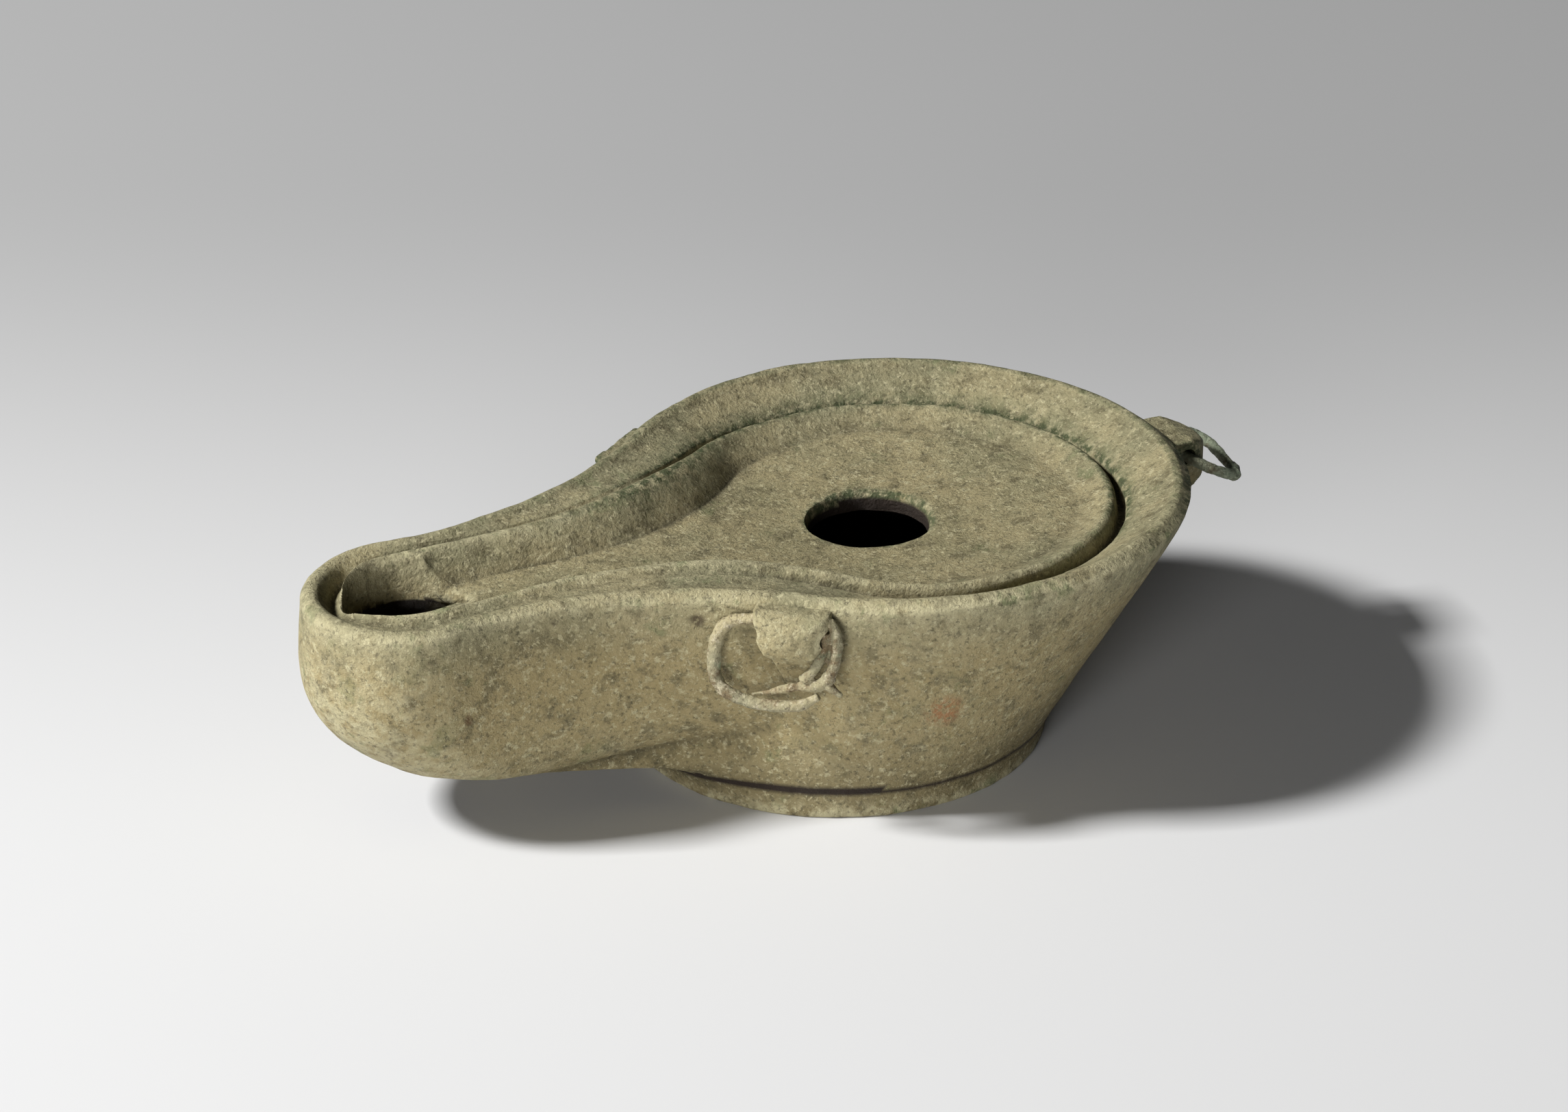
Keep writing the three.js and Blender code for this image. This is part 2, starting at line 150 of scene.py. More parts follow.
def foot_angle(u):
    stops = [0, FLANK_START, SIDE_START, TIP_START, 1]
    return side_of(u) * np.interp(half(u), stops, np.multiply([0, 0.73, 0.84, 0.89, 1], math.pi))


def wall_point(u, v, inset=0.0, top=LIP_ROUND, base=FOOT_HEIGHT):
    """A point of the wall, with v from 0 under the lip to 1 at the foot."""
    rim_x, rim_y = rim_inset(u, inset)
    angle = foot_angle(u)
    foot_x = (FOOT_RADIUS - inset) * np.cos(angle)
    foot_y = (FOOT_RADIUS - inset) * np.sin(angle)
    rim_z = rim_height(rim_x)
    nozzle = smooth(half(u), FLANK_START - 0.06, SIDE_START + 0.04)
    bowl_z = mix(rim_z - top, base, v)
    s = np.clip((rim_z - bowl_z) / (rim_z - base), 0, 1)
    bowl_run = s - BELLY * np.sin(math.pi * s**0.4) * np.sqrt(1 - s)

    under = NOZZLE_UNDERSIDE + inset
    hull_end, cove_start = 0.62, 0.86
    hull_top = rim_z - LIP_ROUND
    drop = np.clip((hull_top - (rim_z - top)) / (hull_top - under), 0, 1)
    if v <= hull_end:
        start = np.arcsin(drop ** (HULL_POWER / 2))
        phi = mix(start, math.pi / 2, v / hull_end)
        swell = NOZZLE_SWELL * np.sin(2 * phi**0.85) ** 2
        run = HULL_RUN * (1 - np.clip(np.cos(phi), 0, 1) ** (2 / HULL_POWER)) - swell
        z = mix(hull_top, under, np.sin(phi) ** (2 / HULL_POWER))
        tuck = HULL_TUCK * (1 - np.cos(phi)) ** 1.5
    else:
        flat = min(1, (v - hull_end) / (cove_start - hull_end))
        cove = max(0, (v - cove_start) / (1 - cove_start)) * math.pi / 2
        run = mix(mix(HULL_RUN, 0.86, flat), 1, math.sin(cove))
        z = mix(under - UNDERSIDE_FALL * flat, base, 1 - math.cos(cove))
        tuck = HULL_TUCK * (1 - flat)
    a = mix(bowl_run, run, nozzle)
    narrow = 1 - tuck * nozzle
    return np.stack(
        [mix(rim_x, foot_x, a), mix(rim_y, foot_y, a) * narrow, mix(bowl_z, z, nozzle)], axis=1
    )


def foot_ring(u, radius, z):
    angle = foot_angle(u)
    return np.stack([radius * np.cos(angle), radius * np.sin(angle), np.full(len(u), z)], axis=1)


def at_depth(u, loop, disc_depth, nozzle_depth):
    """A loop of the top, at one depth below the lip round the disc and another along the nozzle."""
    x, y = loop
    share = smooth(half(u), 0.33, 0.56)
    return np.stack([x, y, rim_height(x) - mix(disc_depth, nozzle_depth, share)], axis=1)


def groove_depth(u, share):
    """Deep round the disc, nearly filled along the nozzle, open again at the tip's far side."""
    tip_side = smooth(u, 0.80, 0.88) * (1 - smooth(u, 0.97, 1.10))
    fill = np.where(u <= 1, 0.45, 0.2)
    return 0.3 + share * 2.0 * mix(fill, 1.6, tip_side)


def spine_x(x):
    return mix(FILL_HOLE_X, x, 0.62)


def floor_ring(u, share):
    cx, cy = keyhole(u, DISC_RADIUS, 5.0, 46, 5, -56)
    x = mix(cx, spine_x(cx), share)
    y = cy * (1 - share)
    rho = np.hypot(x - FILL_HOLE_X, y) / DISC_RADIUS
    dish = DISC_DISH * np.clip(1 - rho * rho, 0, 1)
    depth = mix(DISC_DEPTH + dish, CHANNEL_DEPTH, smooth(-x, 12, 40))
    return np.stack([x, y, rim_height(x) - depth], axis=1)


def spline_rings(controls, steps):
    """Rings that pass smoothly through the control rings, with that many steps to each span."""
    rings = [controls[0]]
    for k in range(len(controls) - 1):
        p1, p2 = controls[k], controls[k + 1]
        p0 = controls[k - 1] if k else p1
        p3 = controls[k + 2] if k + 2 < len(controls) else p2
        span = np.linalg.norm(p2 - p1, axis=1, keepdims=True) + 1e-6
        before = np.linalg.norm(p1 - p0, axis=1, keepdims=True) + 1e-6
        after = np.linalg.norm(p3 - p2, axis=1, keepdims=True) + 1e-6
        m1 = (p2 - p0) * span / (before + span)
        m2 = (p3 - p1) * span / (span + after)
        for i in range(1, steps[k] + 1):
            t = i / steps[k]
            rings.append(
                (2 * t**3 - 3 * t**2 + 1) * p1
                + (t**3 - 2 * t**2 + t) * m1
                + (3 * t**2 - 2 * t**3) * p2
                + (t**3 - t**2) * m2
            )
    return rings


def skin(name, rings):
    """A closed mesh object through rings of points. The first and last ring close on themselves."""
    count, columns = len(rings), len(rings[0])
    r, c = np.meshgrid(np.arange(count - 1), np.arange(columns), indexing="ij")
    d = (c + 1) % columns
    quads = np.stack(
        [r * columns + c, r * columns + d, (r + 1) * columns + d, (r + 1) * columns + c], axis=-1
    )
    mesh = bpy.data.meshes.new(name)
    mesh.from_pydata((np.concatenate(rings) * MM).tolist(), [], quads.reshape(-1, 4).tolist())
    shape = bmesh.new()
    shape.from_mesh(mesh)
    bmesh.ops.remove_doubles(shape, verts=shape.verts, dist=2e-6)
    bmesh.ops.dissolve_degenerate(shape, edges=shape.edges, dist=1e-6)
    bmesh.ops.recalc_face_normals(shape, faces=shape.faces)
    shape.to_mesh(mesh)
    shape.free()
    obj = bpy.data.objects.new(name, mesh)
    bpy.context.scene.collection.objects.link(obj)
    return obj


def bake(obj):
    """Turns an object's modifiers into a plain mesh."""
    graph = bpy.context.evaluated_depsgraph_get()
    plain = bpy.data.meshes.new_from_object(obj.evaluated_get(graph))
    obj.modifiers.clear()
    obj.data = plain
    plain.name = obj.name


def combine(target, tool, operation):
    """Adds a tool shape to the target or cuts it away, and deletes the tool."""
    modifier = target.modifiers.new("combine", "BOOLEAN")
    modifier.operation = operation
    modifier.solver = "MANIFOLD"
    modifier.object = tool
    bake(target)
    bpy.data.objects.remove(tool)


def outer_rings():
    u = np.arange(2 * HALF_COLUMNS) / HALF_COLUMNS
    inner_foot = FOOT_RADIUS - FOOT_RING
    under = [
        foot_ring(u, radius, z)
        for radius, z in [
            (0, 0), (BOSS_RADIUS - 0.3, 0), (BOSS_RADIUS, 0.2), (BOSS_RADIUS + 0.6, FOOT_RECESS),
            (14.0, FOOT_RECESS), (14.8, 0.6 * FOOT_RECESS), (16.4, 0.6 * FOOT_RECESS),
            (17.2, FOOT_RECESS), (inner_foot - 0.8, FOOT_RECESS), (inner_foot, 0.2),
            (inner_foot + 0.3, 0), (FOOT_RADIUS - 0.5, 0), (FOOT_RADIUS - 0.15, 0.15),
            (FOOT_RADIUS, 0.5), (FOOT_RADIUS, 1.3), (FOOT_RADIUS, 2.0),
        ]
    ]
    wall = [wall_point(u, k / WALL_RINGS) for k in range(WALL_RINGS, -1, -1)]
    channel_tip = {"tip_centre": -58, "tip": 6}
    top = [
        wall[-1],
        at_depth(u, rim_inset(u, 0.25), 0.5, 0.6),
        at_depth(u, rim_inset(u, 0.9), 0.05, 0.1),
        at_depth(u, rim_inset(u, 1.8), 0.1, 0.0),
        at_depth(u, rim_inset(u, LIP_WIDTH), 0.7, groove_depth(u, 0.1)),
        at_depth(u, keyhole(u, 33.3, 11.4, 62, 11.4), 4.4, groove_depth(u, 0.6)),
        at_depth(u, keyhole(u, 32.8, 11.1, 62, 11.1), 6.0, groove_depth(u, 1)),
        at_depth(u, keyhole(u, 32.0, 10.6, 62, 9.9), 5.9, groove_depth(u, 1)),
        at_depth(u, keyhole(u, 31.5, 10.0, 61, 9.3), 3.8, groove_depth(u, 0.3)),
        at_depth(u, keyhole(u, 30.7, 9.4, 60, 8.6), 3.15, 0.0),
        at_depth(u, keyhole(u, 29.7, 8.3, 56, **channel_tip), 3.5, 0.2),
        at_depth(u, keyhole(u, 27.6, 6.4, 50, 5, -57), 4.6, 2.8),
        floor_ring(u, 0),
    ]
    top = spline_rings(top, [2, 3, 3, 3, 7, 3, 2, 4, 4, 3, 4, 4])
    shares = np.linspace(0, 1, 34)[1:]
    return under + wall + top[1:] + [floor_ring(u, share) for share in shares]


def chamber_rings():
    u = np.arange(120) / 60
    inner = {"inset": WALL, "top": PLATE_UNDERSIDE, "base": FLOOR_TOP}
    rings = [foot_ring(u, 0, FLOOR_TOP), foot_ring(u, 15, FLOOR_TOP)]
    rings += [wall_point(u, k / 16, **inner) for k in range(16, -1, -1)]
    edge = wall_point(u, 0, **inner)
    for share in (0.5, 1.0):
        x = mix(edge[:, 0], spine_x(edge[:, 0]), share)
        y = edge[:, 1] * (1 - share)
        rings.append(np.stack([x, y, rim_height(x) - PLATE_UNDERSIDE], axis=1))
    return rings


def fill_hole_rings():
    a = np.arange(128) / 64 * math.pi
    r = FILL_HOLE_RADIUS
    floor_z = RIM_HEIGHT - DISC_DEPTH - DISC_DISH
    wander = 1 + 0.012 * np.sin(2 * a + 0.6) + 0.006 * np.sin(5 * a)
    profile = [
        (0, -8), (r, -8), (r, -2.6), (r - 0.05, -1.8), (r, -1.0), (r + 0.15, -0.5),
        (r + 0.42, -0.1), (r + 0.8, 0.15), (r + 1.2, 0.3), (r + 3, 6), (0, 6),
    ]
    return [
        np.stack(
            [
                FILL_HOLE_X + radius * wander * np.cos(a),
                radius * wander * np.sin(a),
                np.full(len(a), floor_z + z),
            ],
            axis=1,
        )
        for radius, z in profile
    ]


def wick_funnel_rings():
    a = np.arange(160) / 80 * math.pi
    top = float(rim_height(WICK_CENTRE))
    broken = np.clip(np.cos(a), 0, 1) ** 4
    ragged = broken * (0.5 * np.sin(9 * a) + 0.35 * np.sin(16 * a + 1) + 0.18 * np.sin(31 * a + 2))
    rings = []
    for radius, depth in [
        (0, 17), (6.4, 17), (7.0, 10), (7.05, 8), (7.2, 6.2), (7.45, 4.6), (7.75, 3.3), (8.1, 2.2),
        (8.45, 1.3), (8.8, 0.6), (9.3, 0.0), (9.9, -0.5), (10.8, -1.5), (0, -4),
    ]:
        r = radius + ragged * min(1, radius)
        rings.append(
            np.stack(
                [WICK_CENTRE + 1.08 * r * np.cos(a), 0.5 + r * np.sin(a), np.full(len(a), top - depth)],
                axis=1,
            )
        )
    return rings


body = skin("lamp_casting", outer_rings())


def rim_place(u):
    """A place on the rim: its point, and the level directions that face out and along."""
    x, y = rim_inset(np.array([u, u - 1e-3, u + 1e-3]), 0)
    run = Vector((x[2] - x[1], y[2] - y[1], 0)).normalized()
    out = Vector((run.y, -run.x, 0))
    return Vector((x[0], y[0], float(rim_height(x[0])))), out, Vector((-out.y, out.x, 0))


def prism(name, points, place, plane, start, depth):
    """An outline drawn in one of a rim place's planes, and drawn out along the third direction."""
    origin, out, along = place
    up = Vector((0, 0, 1))
    first, second, third = {
        "out": (out, up, along), "along": (along, up, out), "plan": (out, along, up)
    }[plane]
    ring = [origin + first * p + second * q for p, q in points]
    corners = [(v + third * start) * MM for v in ring]
    corners += [(v + third * (start + depth)) * MM for v in ring]
    n = len(ring)
    faces = [tuple(range(n)), tuple(range(n, 2 * n))]
    faces += [(i, (i + 1) % n, n + (i + 1) % n, n + i) for i in range(n)]
    mesh = bpy.data.meshes.new(name)
    mesh.from_pydata(corners, [], faces)
    shape = bmesh.new()
    shape.from_mesh(mesh)
    bmesh.ops.recalc_face_normals(shape, faces=shape.faces)
    bmesh.ops.triangulate(shape, faces=shape.faces)
    shape.to_mesh(mesh)
    shape.free()
    obj = bpy.data.objects.new(name, mesh)
    bpy.context.scene.collection.objects.link(obj)
    return obj


def soften(obj, grain, rounds):
    """Rounds a shape's corners as wear and corrosion do, through an even fine mesh."""
    remesh = obj.modifiers.new("even", "REMESH")
    remesh.mode = "VOXEL"
    remesh.voxel_size = grain * MM
    rounding = obj.modifiers.new("round", "SMOOTH")
    rounding.factor = 0.5
    rounding.iterations = rounds
    bake(obj)


LUG_HALF_WIDTH = 5.3
LUG_DROP = -15.8
LUG_HOLE_RADIUS = 1.5
LUG_HOLE_UP = -4.7
LUG_PLACE = 0.461
NEAR_HOLE_OUT = 1.9
REAR_HOLE_OUT = 3.6
near_place = rim_place(2 - LUG_PLACE)
rear_place = rim_place(0.0)
far_place = rim_place(LUG_PLACE)


def lug(place, reach, top, underside, face):
    """What is common to a side profile, a face seen from outside and a rounded plan."""
    w = LUG_HALF_WIDTH
    profile = [
        (-1.6, top), (0.55 * reach, top), (0.85 * reach, top - 0.9), (reach, -3.6), (reach, -5.4),
        *underside, (-1.8, -3.5),
    ]
    nose = [(-10, w + 1), (-10, -w - 1)]
    nose += [
        ((reach + 0.1) * max(0, math.cos(a)) ** 0.7, (w + 0.4) * math.sin(a))
        for a in np.linspace(-math.pi / 2, math.pi / 2, 21)
    ]
    shape = prism("lug", profile, place, "out", -w - 0.5, 2 * w + 1)
    combine(shape, prism("face", face, place, "along", -10, 20), "INTERSECT")
    combine(shape, prism("nose", nose, place, "plan", -25, 30), "INTERSECT")
    return shape


def bore(place, hole_out):
    """The hole for a ring, pierced along the rim."""
    a = np.linspace(0, 2 * math.pi, 41)[:-1]
    circle = [
        (hole_out + LUG_HOLE_RADIUS * math.cos(t), LUG_HOLE_UP + LUG_HOLE_RADIUS * math.sin(t))
        for t in a
    ]
    return prism("bore", circle, place, "out", -7, 14)


web_face = [(5.3, 0), (5.0, -3.5), (0.4, -17.8), (-0.4, -17.8), (-5.0, -3.5), (-5.3, 0)]
boss_face = [(5.3 * math.cos(a), -3.2 + 5.5 * math.sin(a)) for a in np.linspace(0, -math.pi, 17)]
boss_face += [(-5.4, 0), (5.4, 0)]
near_underside = [(3.9, -7.4), (2.6, -9.4), (-0.2, -9.9), (-6, -9.9)]
web_underside = [(1.5, -6.5), (0.5, -10.0), (-2.2, LUG_DROP), (-6, LUG_DROP)]
rear_underside = [
    (7.8, -8.0), (6.4, -10.4), (4.2, -12.6), (-1.0, -15.4), (-7.5, -17.4), (-9.5, -17.4),
]
scar = [
    (7.4, -1.3), (7.0, -0.4), (1.0, -0.9), (-3.2, -1.0), (-5.8, -1.3), (-6.2, -2.2), (-3.9, -4.0),
    (-1.3, -6.2), (2.4, -5.2), (5.4, -3.3),
]
broken = prism("broken_lug", scar, far_place, "along", -2.0, 3.4)
soften(broken, 0.35, 3)
near_lug = lug(near_place, 4.6, -1.2, near_underside, boss_face)
combine(near_lug, lug(near_place, 1.7, -1.2, web_underside, web_face), "UNION")
rear_lug = lug(rear_place, 8.2, -2.0, rear_underside, web_face)
soften(near_lug, 0.28, 5)
soften(rear_lug, 0.3, 12)
combine(body, near_lug, "UNION")
combine(body, rear_lug, "UNION")
combine(body, broken, "UNION")
combine(body, bore(near_place, NEAR_HOLE_OUT), "DIFFERENCE")
combine(body, bore(rear_place, REAR_HOLE_OUT), "DIFFERENCE")
combine(body, skin("chamber", chamber_rings()), "DIFFERENCE")
combine(body, skin("fill_hole", fill_hole_rings()), "DIFFERENCE")
combine(body, skin("wick_funnel", wick_funnel_rings()), "DIFFERENCE")


def read_points(mesh):
    points = np.empty(len(mesh.vertices) * 3)
    mesh.vertices.foreach_get("co", points)
    return points.reshape(-1, 3) / MM


def relaxed(mesh, points, rounds, share):
    """The points drawn towards their neighbours' mean, over and over, by a share for each."""
    count = len(points)
    ends = np.empty(len(mesh.edges) * 2, dtype=np.int32)
    mesh.edges.foreach_get("vertices", ends)
    a, b = ends.reshape(-1, 2).T
    near = np.maximum(np.bincount(a, minlength=count) + np.bincount(b, minlength=count), 1)
    for _ in range(rounds):
        total = [
            np.bincount(a, points[b, k], minlength=count)
            + np.bincount(b, points[a, k], minlength=count)
            for k in range(3)
        ]
        points = points + (np.stack(total, axis=1) / near[:, None] - points) * share
    return points


def wear(obj):
    """Rubs the mouth of the wick hole round, and runs the foot into the bowl above it."""
    points = read_points(obj.data)
    x, y, z = points.T
    below = rim_height(x) - z
    at_wick = (1 - smooth(np.hypot(x - WICK_CENTRE, y), 8.5, 17)) * smooth(below, 0.8, 2.6)
    at_foot = smooth(z, 0.8, 2.2) * (1 - smooth(z, 6.0, 9.0)) * smooth(np.hypot(x, y), 24, 27)
    share = 0.6 * np.clip(at_wick + at_foot, 0, 1)[:, None]
    points = relaxed(obj.data, points, 30, share)
    obj.data.vertices.foreach_set("co", (points * MM).ravel())
    obj.data.update()


wear(body)


def link(tree, source, target):
    tree.links.new(source, target)


def weathering_nodes(material, swell, dent):
    """Swells and pits a surface a little along its own direction, by even noise."""
    tree = bpy.data.node_groups.new("weathering", "GeometryNodeTree")
    socket = tree.interface.new_socket
    socket("Geometry", in_out="INPUT", socket_type="NodeSocketGeometry")
    for label, value in [
        ("Swell Size", swell[0] * MM), ("Swell Depth", swell[1] * MM),
        ("Dent Size", dent[0] * MM), ("Dent Depth", dent[1] * MM), ("Seed", 3.0),
    ]:
        socket(label, in_out="INPUT", socket_type="NodeSocketFloat").default_value = value
    socket("Geometry", in_out="OUTPUT", socket_type="NodeSocketGeometry")
    add = tree.nodes.new
    enter = add("NodeGroupInput")
    leave = add("NodeGroupOutput")
    normal = add("GeometryNodeInputNormal")
    reliefs = []
    for size, depth in (("Swell Size", "Swell Depth"), ("Dent Size", "Dent Depth")):
        noise = add("ShaderNodeTexNoise")
        noise.noise_dimensions = "4D"
        noise.inputs["Detail"].default_value = 2.0
        inverse = add("ShaderNodeMath")
        inverse.operation = "DIVIDE"
        inverse.inputs[0].default_value = 1.0
        link(tree, enter.outputs[size], inverse.inputs[1])
        link(tree, inverse.outputs[0], noise.inputs["Scale"])
        link(tree, enter.outputs["Seed"], noise.inputs["W"])
        level = add("ShaderNodeMath")
        level.operation = "SUBTRACT"
        level.inputs[1].default_value = 0.5
        link(tree, noise.outputs[0], level.inputs[0])
        scaled = add("ShaderNodeMath")
        scaled.operation = "MULTIPLY"
        link(tree, level.outputs[0], scaled.inputs[0])
        link(tree, enter.outputs[depth], scaled.inputs[1])
        reliefs.append(scaled)
    total = add("ShaderNodeMath")
    total.operation = "ADD"
    for k, scaled in enumerate(reliefs):
        link(tree, scaled.outputs[0], total.inputs[k])
    shift = add("ShaderNodeVectorMath")
    shift.operation = "SCALE"
    link(tree, normal.outputs[0], shift.inputs[0])
    link(tree, total.outputs[0], shift.inputs["Scale"])
    move = add("GeometryNodeSetPosition")
    link(tree, enter.outputs["Geometry"], move.inputs["Geometry"])
    link(tree, shift.outputs[0], move.inputs["Offset"])
    real = add("GeometryNodeRealizeInstances")
    link(tree, move.outputs[0], real.inputs[0])
    paint = add("GeometryNodeSetMaterial")
    paint.inputs["Material"].default_value = material
    link(tree, real.outputs[0], paint.inputs["Geometry"])
    link(tree, paint.outputs[0], leave.inputs[0])
    return tree


def mark_relief(obj, inside):
    """Keeps for each point how hollow or how raised it is, and whether it is in the chamber."""
    mesh = obj.data
    points = read_points(mesh)
    normals = np.empty(len(points) * 3, dtype=np.float32)
    mesh.vertex_normals.foreach_get("vector", normals)
    normals = normals.reshape(-1, 3)
    rise = np.einsum("ij,ij->i", points - relaxed(mesh, points, 14, 0.8), normals)
    for label, values in (
        ("hollow", np.clip(-rise / 0.5, 0, 1)),
        ("edge", np.clip(rise / 0.4, 0, 1)),
        ("inside", inside(points, normals).astype(float)),
    ):
        mesh.attributes.new(label, "FLOAT", "POINT").data.foreach_set("value", values)


def in_chamber(points, normals):
    """Which points are in the lamp's inside: below the plate, and clear of the outer wall."""
    x, y, z = points.T
    below = rim_height(x) - z
    deep_hole = (np.hypot(x - FILL_HOLE_X, y) < FILL_HOLE_RADIUS + 1) & (below > 7.6)
    deep_wick = (np.hypot(x - WICK_CENTRE, y) < 8.6) & (below > 6.2)
    centre = mix(BOWL_CENTRE, 0, np.clip((RIM_HEIGHT - z) / RIM_HEIGHT, 0, 1))
    bowl = (np.hypot(x - centre, y) < 34) & (below > 7.6) & (z > FLOOR_TOP - 0.6)
    facing = normals[:, 0] * (x - centre) + normals[:, 1] * y < 0
    level = (z < FLOOR_TOP + 0.6) | (below < PLATE_UNDERSIDE + 0.6)
    return deep_hole | deep_wick | (bowl & (facing | level))


def patina(name, buff, grey, brown, pale, green, tan=(0.25, 0.2, 0.1), side=0.0, marks=()):
    """A mottled corroded bronze skin, browner down the sides by a share, with a few stains. It is
    darker in the hollows partly as painted shade, pale on the edges partly as painted highlight, and
    painted near black inside as shade.

    It reads the object's own coordinates and its relief.
    """
    material = bpy.data.materials.new(name)
    material.use_nodes = True
    tree = material.node_tree
    shader = tree.nodes["Principled BSDF"]
    add = tree.nodes.new
    place = add("ShaderNodeTexCoord").outputs["Object"]

    def noise(size, detail, roughness, low, high, top=1.0, bottom=0.0):
        """A share that wanders between two values. Its size is in millimetres."""
        texture = add("ShaderNodeTexNoise")
        texture.inputs["Scale"].default_value = 1 / (size * MM)
        texture.inputs["Detail"].default_value = detail
        texture.inputs["Roughness"].default_value = roughness
        link(tree, place, texture.inputs["Vector"])
        ramp = add("ShaderNodeMapRange")
        ramp.interpolation_type = "SMOOTHSTEP"
        ramp.inputs["From Min"].default_value = low
        ramp.inputs["From Max"].default_value = high
        ramp.inputs["To Min"].default_value = bottom
        ramp.inputs["To Max"].default_value = top
        link(tree, texture.outputs[0], ramp.inputs["Value"])
        return ramp.outputs[0]

    def times(a, b):
        node = add("ShaderNodeMath")
        node.operation = "MULTIPLY"
        for k, value in enumerate((a, b)):
            if isinstance(value, float):
                node.inputs[k].default_value = value
            else:
                link(tree, value, node.inputs[k])
        return node.outputs[0]

    def blend(share, under, over):
        node = add("ShaderNodeMix")
        node.data_type = "RGBA"
        link(tree, share, node.inputs[0])
        for socket, value in ((node.inputs[6], under), (node.inputs[7], over)):
            if isinstance(value, tuple):
                socket.default_value = (*value, 1)
            else:
                link(tree, value, socket)
        return node.outputs[2]

    def relief(label):
        node = add("ShaderNodeAttribute")
        node.attribute_name = label
        return node.outputs["Fac"]

    def along(direction, start, end):
        """A share that grows from 0 to 1 between two places in one direction, in millimetres."""
        reach = add("ShaderNodeVectorMath")
        reach.operation = "DOT_PRODUCT"
        link(tree, place, reach.inputs[0])
        reach.inputs[1].default_value = direction
        ramp = add("ShaderNodeMapRange")
        ramp.interpolation_type = "SMOOTHSTEP"
        ramp.inputs["From Min"].default_value = start * MM
        ramp.inputs["From Max"].default_value = end * MM
        link(tree, reach.outputs["Value"], ramp.inputs["Value"])
        return ramp.outputs[0]

    def spot(centre, radius):
        """A share that is 1 at a place and 0 beyond a radius, in millimetres."""
        reach = add("ShaderNodeVectorMath")
        reach.operation = "DISTANCE"
        link(tree, place, reach.inputs[0])
        reach.inputs[1].default_value = [c * MM for c in centre]
        ramp = add("ShaderNodeMapRange")
        ramp.inputs["From Min"].default_value = radius * MM
        ramp.inputs["From Max"].default_value = 0.4 * radius * MM
        link(tree, reach.outputs["Value"], ramp.inputs["Value"])
        return ramp.outputs[0]

    dark = tuple(0.3 * c for c in brown)
    colour = blend(noise(14, 4, 0.6, 0.38, 0.62), buff, grey)
    colour = blend(times(along((0, 0, -1), -35, -25), side), colour, tan)
    colour = blend(noise(3.2, 6, 0.7, 0.48, 0.66, 0.8), colour, brown)
    colour = blend(times(along((0, 0, -1), -17, -3), 0.6 * side), colour, brown)
    colour = blend(noise(1.1, 4, 0.7, 0.53, 0.66, 0.7), colour, pale)
    far_side = along((0.45, 0.9, 0), -22, 8)
    # Pale on the raised edges: partly rubbed metal, partly painted highlight.
    colour = blend(times(relief("edge"), noise(2.4, 4, 0.6, 0.34, 0.58, 0.9)), colour, pale)
    colour = blend(times(relief("edge"), noise(5.5, 4, 0.7, 0.54, 0.64, 0.7)), colour, green)
    moss = tuple(0.5 * c for c in green)
    # Raised edges on the far side turn dark green, so the pale edges stay on the near side.
    at_edge = times(times(relief("edge"), 1.6), noise(1.8, 5, 0.7, 0.34, 0.60))
    colour = blend(times(far_side, at_edge), colour, moss)
    colour = blend(noise(7.0, 5, 0.7, 0.60, 0.70, 0.45), colour, green)
    # Darker in the hollows: partly corrosion gathered there, partly painted shade.
    colour = blend(times(relief("hollow"), 0.85), colour, dark)
    colour = blend(noise(0.7, 4, 0.7, 0.52, 0.68, 0.6), colour, dark)
    colour = blend(noise(0.55, 4, 0.7, 0.54, 0.68, 0.45), colour, pale)
    for centre, radius, stain in marks:
        share = times(spot(centre, radius), noise(0.9, 4, 0.7, 0.40, 0.58, 0.8))
        colour = blend(share, colour, stain)
    # Painted shade: the chamber's inside is coloured near black, for the dark within the hollow lamp.
    colour = blend(relief("inside"), colour, (0.020, 0.012, 0.007))
    link(tree, colour, shader.inputs["Base Color"])
    shader.inputs["Metallic"].default_value = 0.1
    shader.inputs["Specular IOR Level"].default_value = 0.35
    link(tree, noise(2.0, 3, 0.6, 0.3, 0.7, 0.8, 0.55), shader.inputs["Roughness"])

    height = add("ShaderNodeMath")
    height.operation = "ADD"
    link(tree, noise(0.5, 5, 0.7, 0.3, 0.75), height.inputs[0])
    link(tree, noise(1.6, 4, 0.6, 0.35, 0.70), height.inputs[1])
    bump = add("ShaderNodeBump")
    bump.inputs["Strength"].default_value = 0.65
    bump.inputs["Distance"].default_value = 0.0003
    link(tree, height.outputs[0], bump.inputs["Height"])
    link(tree, bump.outputs[0], shader.inputs["Normal"])
    return material


bronze = patina(
    "bronze_patina",
    buff=(0.335, 0.290, 0.160),
    grey=(0.240, 0.222, 0.125),
    brown=(0.130, 0.110, 0.055),
    pale=(0.480, 0.435, 0.265),
    green=(0.140, 0.165, 0.070),
    tan=(0.315, 0.250, 0.118),
    side=0.85,
    marks=[
        ((-0.2, -35.6, 17.9), 3.4, (0.33, 0.15, 0.06)),
        ((-62.4, -14.9, 20.7), 1.2, (0.09, 0.04, 0.015)),
        ((-49.8, -15.6, 33.4), 0.9, (0.06, 0.04, 0.02)),
        ((-31.3, -21.7, 32.3), 1.4, (0.06, 0.04, 0.02)),
    ],
)


def finish_piece(obj, material, swell, dent, node):
    """Weathers a piece, and hands it over in place of its CAD node."""
    modifier = obj.modifiers.new("weathering", "NODES")
    modifier.node_group = weathering_nodes(material, swell, dent)
    bake(obj)
    obj.data.shade_smooth()
    obj.data.set_sharp_from_angle(angle=math.radians(50))
    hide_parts(node)
    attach(obj, "root")


mark_relief(body, in_chamber)
finish_piece(body, bronze, (9, 0.5), (2.6, 0.26), "lamp_body")


